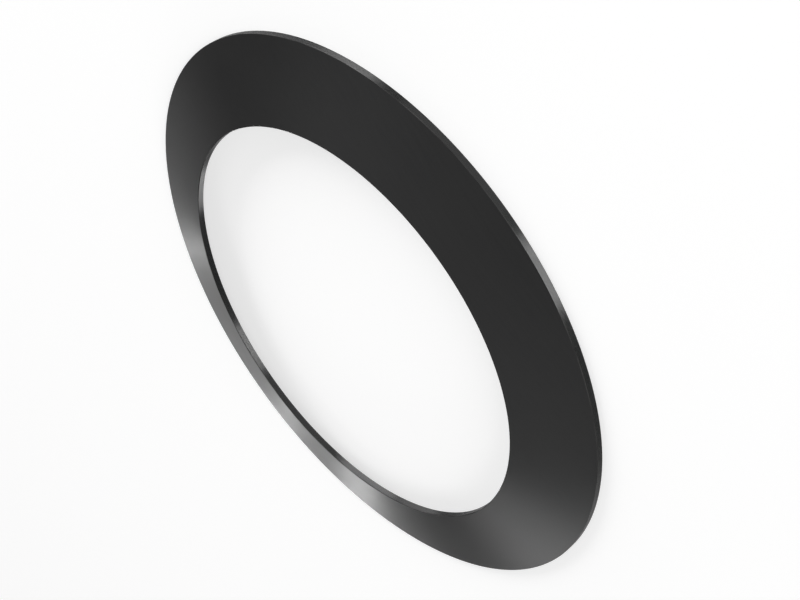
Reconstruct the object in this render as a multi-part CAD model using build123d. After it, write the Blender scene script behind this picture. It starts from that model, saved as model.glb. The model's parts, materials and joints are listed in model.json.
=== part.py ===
from build123d import *
from math import atan2, cos, degrees, tan
import os

# Belleville washer: one coned ring of spring steel, lying with its rim down and its bore up.
#
# Its two faces are parallel cones, and its bore and its rim are turned parallel to the axis.
# It seats on the lower edge of the rim and takes its load on the upper edge of the bore. It
# rocks on those two circles as it flattens, so they are rounded, while the other two edges
# only have their burr taken off.
#
# Millimetres, +Z up the axis, with the origin on the axis in the plane that the rim seats on.

# Driving dimensions, each set by itself
RIM_DIAMETER = 51.5        # outside, clear of a 52 mm housing bore
BORE_DIAMETER = 37.6       # inside, clear of the shaft
STOCK_THICKNESS = 0.6      # of the strip, square to the coned faces
CONE_RISE = 1.8            # of either face, from the rim to the bore
SEAT_RADIUS = 0.06         # on the two edges that carry the load
DEBURR = 0.04              # chamfer on the other two

# Worked out from them
RIM_RADIUS = RIM_DIAMETER / 2
BORE_RADIUS = BORE_DIAMETER / 2
CONE_ANGLE = atan2(CONE_RISE, RIM_RADIUS - BORE_RADIUS)
WALL_HEIGHT = STOCK_THICKNESS / cos(CONE_ANGLE)     # of the stock, measured along the axis
# How far rounding lowers the crest of a seat edge, whose corner is a right angle less the cone
SEAT_LOSS = SEAT_RADIUS * (tan(CONE_ANGLE) + 1 / cos(CONE_ANGLE) - 1)
FREE_HEIGHT = CONE_RISE + WALL_HEIGHT - 2 * SEAT_LOSS


def section_through_stock():
    """Half of the section through the axis: a strip that leans up to the bore, cut off upright."""
    rim_foot = -SEAT_LOSS
    bore_foot = rim_foot + CONE_RISE
    with BuildSketch(Plane.XZ) as section:
        with BuildLine():
            Polyline(
                (RIM_RADIUS, rim_foot),
                (RIM_RADIUS, rim_foot + WALL_HEIGHT),
                (BORE_RADIUS, bore_foot + WALL_HEIGHT),
                (BORE_RADIUS, bore_foot),
                close=True,
            )
        make_face()
        # Up the sketch, the lowest and the highest corners are the two that carry the load
        rim_seat, *plain_edges, bore_seat = section.vertices().sort_by(Axis.Y)
        chamfer(plain_edges, length=DEBURR)
        fillet([rim_seat, bore_seat], radius=SEAT_RADIUS)
    return section.sketch


def belleville_washer():
    """The section, turned once round the axis."""
    with BuildPart() as washer:
        add(section_through_stock())
        revolve(axis=Axis.Z)
    return washer.part


os.makedirs("parts", exist_ok=True)
export_step(belleville_washer(), "parts/belleville_washer.step")
print(f"cone angle {degrees(CONE_ANGLE):.2f} degrees, free height {FREE_HEIGHT:.3f} mm")
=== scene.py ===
import json
import math

import bpy
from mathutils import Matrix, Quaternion, Vector


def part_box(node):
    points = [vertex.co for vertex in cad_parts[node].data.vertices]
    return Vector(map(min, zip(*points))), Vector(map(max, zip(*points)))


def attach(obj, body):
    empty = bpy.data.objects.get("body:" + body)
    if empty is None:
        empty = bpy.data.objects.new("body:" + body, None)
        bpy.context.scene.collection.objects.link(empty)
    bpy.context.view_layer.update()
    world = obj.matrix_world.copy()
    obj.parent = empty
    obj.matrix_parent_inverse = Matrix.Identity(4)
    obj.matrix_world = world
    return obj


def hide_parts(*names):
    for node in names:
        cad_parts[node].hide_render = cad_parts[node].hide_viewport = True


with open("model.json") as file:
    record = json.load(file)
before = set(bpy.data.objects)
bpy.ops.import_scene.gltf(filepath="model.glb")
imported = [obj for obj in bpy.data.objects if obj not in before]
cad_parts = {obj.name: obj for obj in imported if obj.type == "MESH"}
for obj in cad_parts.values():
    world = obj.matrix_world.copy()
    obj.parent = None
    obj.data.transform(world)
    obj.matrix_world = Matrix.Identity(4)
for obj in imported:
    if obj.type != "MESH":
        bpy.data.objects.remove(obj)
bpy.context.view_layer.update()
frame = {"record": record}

# The washer is one ring of spring steel strip, blanked and pressed into a cone. Its bore and
# its rim are then turned upright, its edges are tumbled until they are soft to the hand, and
# it is phosphated black and oiled. It lies loose on the table, rim down.

mounts = {mount["name"]: mount for mount in frame["record"]["mounts"]}
RIM_RADIUS = mounts["rim"]["dims"]["r_mm"] / 1000
BORE_RADIUS = mounts["bore"]["dims"]["r_mm"] / 1000
SEAT_EDGE = 0.00006         # rounding of the two edges that carry the load
PLAIN_EDGE = 0.00004        # rounding of the two edges that only lost their burr
EDGE_STEPS = 6              # facets round each edge
SIDES = 540                 # facets round the ring
BLACK_LOW = (0.0115, 0.0115, 0.0118, 1)
BLACK_HIGH = (0.0225, 0.0225, 0.0229, 1)
OIL_BLOOM = (0.021, 0.0208, 0.0204, 1)
TURNED_BLACK = (0.05, 0.05, 0.05, 1)
BARE_STEEL = (0.33, 0.325, 0.32, 1)
OIL_IOR = 1.4
CRYSTAL = 0.00012           # how long the marks of the finish are
FILM = 0.006
PATCH = 0.004
ROLLING = (0.009, 0.00022, 0.00022)
CRYSTAL_RELIEF = 0.0000005  # how high the marks stand
ROLLING_RELIEF = 0.0000003
BLOTCH = (0.35, 0.65)       # where a noise starts to count as a blotch, and where it is full
OIL_SHARE = 0.35            # how much of the black a full blotch of oil hides
SATIN = 0.26                # roughness of the coat, before its marks add to it
FILM_MATT = 0.06
MARK_MATT = 0.02
SEAT_WEAR = (0.00008, 0.00003)      # how far from an edge its wear starts, and where it is full
PLAIN_WEAR = (0.00004, 0.00002)
SEAT_BARE = 0.4             # how much steel the wear shows there
PLAIN_BARE = 0.2
WALL_OUT = 0.00003          # how far from a wall's radius its finish starts, and where it is full
WALL_IN = 0.00001
FEED = 0.00005              # of the lathe, from one turning groove to the next
FLANK_SLOPE = 0.51          # the flanks of the grooves lean 27 degrees
BURNISHED = 0.18            # roughness of their upper flanks and of their lower ones
DULL = 0.68
BUMP_FILTER = 0.02
SHARP_DEGREES = 3           # facets that meet at more than this show an edge

# The walls take what the cone leaves of the washer's height, and the corner that a rounded
# seat has lost is given back
foot, crest = (corner.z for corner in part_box("belleville_washer"))
CONE_RISE = 0.0018          # free height of the cone between its two seats
CONE_ANGLE = math.atan2(CONE_RISE, RIM_RADIUS - BORE_RADIUS)
SEAT_LOSS = SEAT_EDGE * (math.tan(CONE_ANGLE) + 1 / math.cos(CONE_ANGLE) - 1)
WALL_HEIGHT = crest - foot + 2 * SEAT_LOSS - CONE_RISE
RIM_FOOT = foot - SEAT_LOSS                 # where the section's sharp corners would be
RIM_TOP = RIM_FOOT + WALL_HEIGHT
BORE_FOOT = RIM_FOOT + CONE_RISE
BORE_TOP = BORE_FOOT + WALL_HEIGHT


class Wire:
    """An output in a node tree. Sums of wires and numbers add their own Math nodes."""

    def __init__(self, tree, socket=None):
        self.tree = tree
        self.socket = socket

    def node(self, kind, settings=None, sockets=None, output=0):
        """Adds any node: first its settings, then the values or the wires of its sockets."""
        node = self.tree.nodes.new(kind)
        for name, value in (settings or {}).items():
            setattr(node, name, value)
        for name, value in (sockets or {}).items():
            if isinstance(value, Wire):
                self.tree.links.new(value.socket, node.inputs[name])
            else:
                node.inputs[name].default_value = value
        return Wire(self.tree, node.outputs[output])

    def beside(self, output):
        """Another output of the same node."""
        return Wire(self.tree, self.socket.node.outputs[output])

    def math(self, operation, *others):
        values = dict(enumerate((self, *others)))
        return self.node("ShaderNodeMath", {"operation": operation}, values)

    def __add__(self, other):
        return self.math("ADD", other)

    def __radd__(self, other):
        return self.math("ADD", other)

    def __mul__(self, other):
        return self.math("MULTIPLY", other)

    def __rmul__(self, other):
        return self.math("MULTIPLY", other)

    def __sub__(self, other):
        return self.math("SUBTRACT", other)

    def __rsub__(self, other):
        return self.math("MULTIPLY", -1.0) + other

    def __truediv__(self, other):
        return self.math("DIVIDE", other)

    def __mod__(self, other):
        return self.math("MODULO", other)

    def rise(self, start, end):
        """0 up to start, then smoothly up to 1 at end."""
        return self.node("ShaderNodeMapRange", {"interpolation_type": "SMOOTHSTEP"},
                         {"Value": self, "From Min": start, "From Max": end})


def oiled_phosphate():
    """Fine black crystals under a film of oil, rubbed thin along the edges."""
    material = bpy.data.materials.new("oiled_phosphate")
    material.use_nodes = True
    tree = material.node_tree
    shader = tree.nodes["Principled BSDF"]
    shader.inputs["IOR"].default_value = OIL_IOR
    place = Wire(tree).node("ShaderNodeTexCoord", output="Object")
    x = place.node("ShaderNodeSeparateXYZ", sockets={"Vector": place}, output="X")
    y = x.beside("Y")
    height = x.beside("Z")
    radius = (x * x + y * y).math("SQRT")

    def noise(sizes, detail):
        """Soft blotches of about those lengths along X, Y and Z, from 0 to 1."""
        near = place.node("ShaderNodeVectorMath", {"operation": "DIVIDE"}, {0: place, 1: sizes})
        return place.node("ShaderNodeTexNoise", None, {
            "Vector": near, "Scale": 1.0, "Detail": detail,
        })

    def from_edge(edge_radius, edge_height):
        """How far a point is from one of the ring's four edges."""
        out = radius - edge_radius
        up = height - edge_height
        return (out * out + up * up).math("SQRT")

    def mix_colour(factor, first, second):
        return place.node("ShaderNodeMix", {"data_type": "RGBA"},
                          {0: factor, 6: first, 7: second}, output=2)

    crystals = noise((CRYSTAL, CRYSTAL, CRYSTAL), 2.0)
    film = noise((FILM, FILM, FILM), 3.0)
    rolling = noise(ROLLING, 1.0)
    patches = noise((PATCH, PATCH, PATCH), 2.0)

    # The walls stand where the radius is that of the bore or the rim
    wall = (radius - BORE_RADIUS).rise(WALL_OUT, WALL_IN)
    wall = wall.math("MAXIMUM", (radius - RIM_RADIUS).rise(-WALL_OUT, -WALL_IN))

    # The edges lose their coat: most on the two that carry the load, and patchily
    seats = from_edge(RIM_RADIUS, RIM_FOOT).math("MINIMUM", from_edge(BORE_RADIUS, BORE_TOP))
    plains = from_edge(RIM_RADIUS, RIM_TOP).math("MINIMUM", from_edge(BORE_RADIUS, BORE_FOOT))
    bare = seats.rise(*SEAT_WEAR) * SEAT_BARE
    bare = bare.math("MAXIMUM", plains.rise(*PLAIN_WEAR) * PLAIN_BARE)
    bare = bare * patches.rise(*BLOTCH)

    # The strip's rolling lines show through the coat as streaks a little darker or lighter
    black = mix_colour(crystals * 0.5 + rolling * 0.5, BLACK_LOW, BLACK_HIGH)
    black = mix_colour(film.rise(*BLOTCH) * OIL_SHARE, black, OIL_BLOOM)
    turned = mix_colour(wall, black, TURNED_BLACK)
    colour = mix_colour(bare, turned, BARE_STEEL)
    tree.links.new(colour.socket, shader.inputs["Base Color"])
    tree.links.new(wall.math("MAXIMUM", bare).socket, shader.inputs["Metallic"])

    # The lathe's feed leaves fine grooves round the two walls. The tool burnishes their upper
    # flanks and leaves the lower ones dull.
    groove = (height / FEED).math("FRACT")
    grooves = (groove - 0.5).math("ABSOLUTE") * (FEED * FLANK_SLOPE)
    flank = BURNISHED + groove.math("GREATER_THAN", 0.5) * (DULL - BURNISHED)
    satin = SATIN + film * FILM_MATT + crystals * MARK_MATT + rolling * MARK_MATT
    roughness = satin + (flank - satin) * wall
    tree.links.new(roughness.socket, shader.inputs["Roughness"])

    relief = grooves * wall + crystals * CRYSTAL_RELIEF + rolling * ROLLING_RELIEF
    bump = place.node("ShaderNodeBump", None, {
        "Height": relief, "Distance": 1.0, "Filter Width": BUMP_FILTER,
    })
    tree.links.new(bump.socket, shader.inputs["Normal"])
    return material


def coned_ring(finish):
    """Sweeps the leaning section, with its edges rounded, once round the axis."""
    tree = bpy.data.node_groups.new("coned_ring", "GeometryNodeTree")
    lengths = ("Rim Radius", "Bore Radius", "Rim Foot", "Cone Rise", "Wall Height",
               "Seat Edge", "Plain Edge")
    for name in lengths:
        tree.interface.new_socket(name, in_out="INPUT", socket_type="NodeSocketFloat")
    for name in ("Edge Steps", "Sides"):
        tree.interface.new_socket(name, in_out="INPUT", socket_type="NodeSocketInt")
    tree.interface.new_socket("Washer", in_out="OUTPUT", socket_type="NodeSocketGeometry")
    given = Wire(tree).node("NodeGroupInput")
    rim_foot = given.beside("Rim Foot")
    bore_foot = rim_foot + given.beside("Cone Rise")
    wall_height = given.beside("Wall Height")
    width = given.beside("Rim Radius") - given.beside("Bore Radius")

    def corner(across, up):
        """A corner of the section. The sweep lays a section's Y downwards."""
        return given.node("ShaderNodeCombineXYZ", None, {"X": across, "Y": up * -1.0})

    section = given.node("GeometryNodeCurvePrimitiveQuadrilateral", {"mode": "POINTS"}, {
        "Point 1": corner(width, rim_foot),
        "Point 2": corner(width, rim_foot + wall_height),
        "Point 3": corner(0.0, bore_foot + wall_height),
        "Point 4": corner(0.0, bore_foot),
    })
    # The first and the third of those corners carry the load
    plain = given.node("GeometryNodeInputIndex") % 2.0
    seat_edge = given.beside("Seat Edge")
    edge = seat_edge + (given.beside("Plain Edge") - seat_edge) * plain
    rounded = given.node("GeometryNodeFilletCurve", {"mode": "POLY"}, {
        "Curve": section, "Count": given.beside("Edge Steps"), "Radius": edge,
    })
    bore = given.node("GeometryNodeCurvePrimitiveCircle", None, {
        "Resolution": given.beside("Sides"), "Radius": given.beside("Bore Radius"),
    })
    upright = given.node("GeometryNodeSetCurveNormal", {"mode": "Z_UP"}, {"Curve": bore})
    ring = given.node("GeometryNodeCurveToMesh", None,
                      {"Curve": upright, "Profile Curve": rounded})
    outward = given.node("GeometryNodeFlipFaces", None, {"Mesh": ring})
    real = given.node("GeometryNodeRealizeInstances", None, {"Geometry": outward})
    coated = given.node("GeometryNodeSetMaterial", None, {"Geometry": real, "Material": finish})
    result = tree.nodes.new("NodeGroupOutput")
    tree.links.new(coated.socket, result.inputs["Washer"])
    return tree


def made_by(tree, sizes):
    """The plain mesh that a geometry tree makes from those sizes."""
    maker = bpy.data.objects.new("maker", bpy.data.meshes.new("maker"))
    bpy.context.scene.collection.objects.link(maker)
    modifier = maker.modifiers.new(tree.name, "NODES")
    modifier.node_group = tree
    for item in tree.interface.items_tree:
        if item.in_out == "INPUT":
            modifier[item.identifier] = sizes[item.name]
    graph = bpy.context.evaluated_depsgraph_get()
    mesh = bpy.data.meshes.new_from_object(maker.evaluated_get(graph))
    bpy.data.objects.remove(maker)
    return mesh


steel = made_by(coned_ring(oiled_phosphate()), {
    "Rim Radius": RIM_RADIUS,
    "Bore Radius": BORE_RADIUS,
    "Rim Foot": RIM_FOOT,
    "Cone Rise": CONE_RISE,
    "Wall Height": WALL_HEIGHT,
    "Seat Edge": SEAT_EDGE,
    "Plain Edge": PLAIN_EDGE,
    "Edge Steps": EDGE_STEPS,
    "Sides": SIDES,
})
steel.name = "spring_steel_ring"
steel.polygons.foreach_set("use_smooth", [True] * len(steel.polygons))
steel.set_sharp_from_angle(angle=math.radians(SHARP_DEGREES))
washer = bpy.data.objects.new("spring_steel_ring", steel)
bpy.context.scene.collection.objects.link(washer)
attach(washer, "root")
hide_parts("belleville_washer")

# The table is covered with a sheet of matt white paper, much wider than the washer, so that
# its sides are out of sight. The washer's seat rests on it and throws a faint shadow there.

TABLE_HALF = 3.0
TABLE_DROP = 0.00001        # under the washer's seat, so that the two don't share a plane
PAPER = 0.5
GLOW = 0.64                 # what whitens the paper in the camera's view and in reflections


def white_paper():
    material = bpy.data.materials.new("white_paper")
    material.use_nodes = True
    tree = material.node_tree
    shader = tree.nodes["Principled BSDF"]
    shader.inputs["Base Color"].default_value = (PAPER, PAPER, PAPER, 1)
    shader.inputs["Roughness"].default_value = 1
    shader.inputs["Specular IOR Level"].default_value = 0
    shader.inputs["Emission Strength"].default_value = GLOW
    seen = Wire(tree).node("ShaderNodeLightPath", output="Is Camera Ray")
    seen = seen + seen.beside("Is Glossy Ray") + seen.beside("Is Transmission Ray")
    tree.links.new(seen.socket, shader.inputs["Emission Color"])
    return material


paper = bpy.data.meshes.new("table_top")
h = TABLE_HALF
paper.from_pydata([(-h, -h, 0), (h, -h, 0), (h, h, 0), (-h, h, 0)], [], [(0, 1, 2, 3)])
paper.materials.append(white_paper())
table = bpy.data.objects.new("table_top", paper)
table.location.z = foot - TABLE_DROP
bpy.context.scene.collection.objects.link(table)

# The room is dark grey, and soft boxes on stands light the washer from all round it. Low ones
# light its far side, which is seen nearly edge on, and the ones in front light its two walls.

ROOM = 0.08
STRIP_AWAY = 0.6            # how far from the washer the strips and the boxes stand
BOX_AWAY = 0.9
STRIP_HEIGHT = 0.04
STRIP_LIFT = 2.5            # degrees above the table

world = bpy.data.worlds.new("room")
world.use_nodes = True
world.node_tree.nodes["Background"].inputs["Color"].default_value = (ROOM, ROOM, ROOM, 1)
bpy.context.scene.world = world


def soft_box(name, azimuth, elevation, distance, width, height, level):
    """A soft box that faces the washer. Its level is how bright its face is, 1 being white."""
    data = bpy.data.lights.new(name, "AREA")
    data.shape = "RECTANGLE"
    data.size = width
    data.size_y = height
    data.energy = level * math.pi * width * height
    light = bpy.data.objects.new(name, data)
    a, e = math.radians(azimuth), math.radians(elevation)
    out = Vector((math.cos(a) * math.cos(e), math.sin(a) * math.cos(e), math.sin(e)))
    light.location = out * distance
    light.rotation_mode = "QUATERNION"
    light.rotation_quaternion = out.to_track_quat("Z", "Y")
    bpy.context.scene.collection.objects.link(light)


# Three low strips stand behind the washer, where the far side of its face mirrors them
soft_box("strip_right", 78, STRIP_LIFT, STRIP_AWAY, 0.015, STRIP_HEIGHT, 12)
soft_box("strip_middle", 93, STRIP_LIFT, STRIP_AWAY, 0.012, STRIP_HEIGHT, 25)
soft_box("strip_left", 101, STRIP_LIFT, STRIP_AWAY, 0.03, STRIP_HEIGHT, 13)
# Large boxes light the two sides and, from above, the near side
soft_box("back_left", 126, 22, BOX_AWAY, 0.3, 0.25, 2)
soft_box("low_left", 130, 7, BOX_AWAY, 0.2, 0.15, 8)
soft_box("left", 150, 8, BOX_AWAY, 0.4, 0.2, 7)
soft_box("back_right", 68, 12, BOX_AWAY, 0.2, 0.2, 0.3)
soft_box("right", 25, 15, BOX_AWAY, 0.4, 0.4, 3)
soft_box("top", 90, 55, BOX_AWAY, 0.9, 0.4, 0.5)
# From the camera's side come the ones that light the walls
soft_box("front_left", 248, 20, BOX_AWAY, 0.4, 0.5, 8)
soft_box("front", 295, 20, BOX_AWAY, 0.8, 0.5, 1)
soft_box("front_right", 350, 20, BOX_AWAY, 0.6, 0.5, 6)

# The camera looks down at the washer from the front, rolled so that the washer stands on end

CAMERA = Vector((0, -0.09279, 0.04969))
AIM = Vector((-0.00069, -0.00701, -0.00002))
LENS = 55.66                # mm, on a sensor 36 mm wide
SENSOR = 36
ROLL_DEGREES = -125.27

back = (CAMERA - AIM).normalized()
camera_data = bpy.data.cameras.new("camera")
camera_data.lens = LENS
camera_data.sensor_width = SENSOR
camera_data.clip_start = 0.001
camera_data.clip_end = 20
camera = bpy.data.objects.new("camera", camera_data)
camera.location = CAMERA
camera.rotation_mode = "QUATERNION"
roll = Quaternion((0, 0, 1), math.radians(ROLL_DEGREES))
camera.rotation_quaternion = back.to_track_quat("Z", "Y") @ roll
bpy.context.scene.collection.objects.link(camera)
bpy.context.scene.camera = camera
bpy.context.scene.view_settings.view_transform = "Standard"
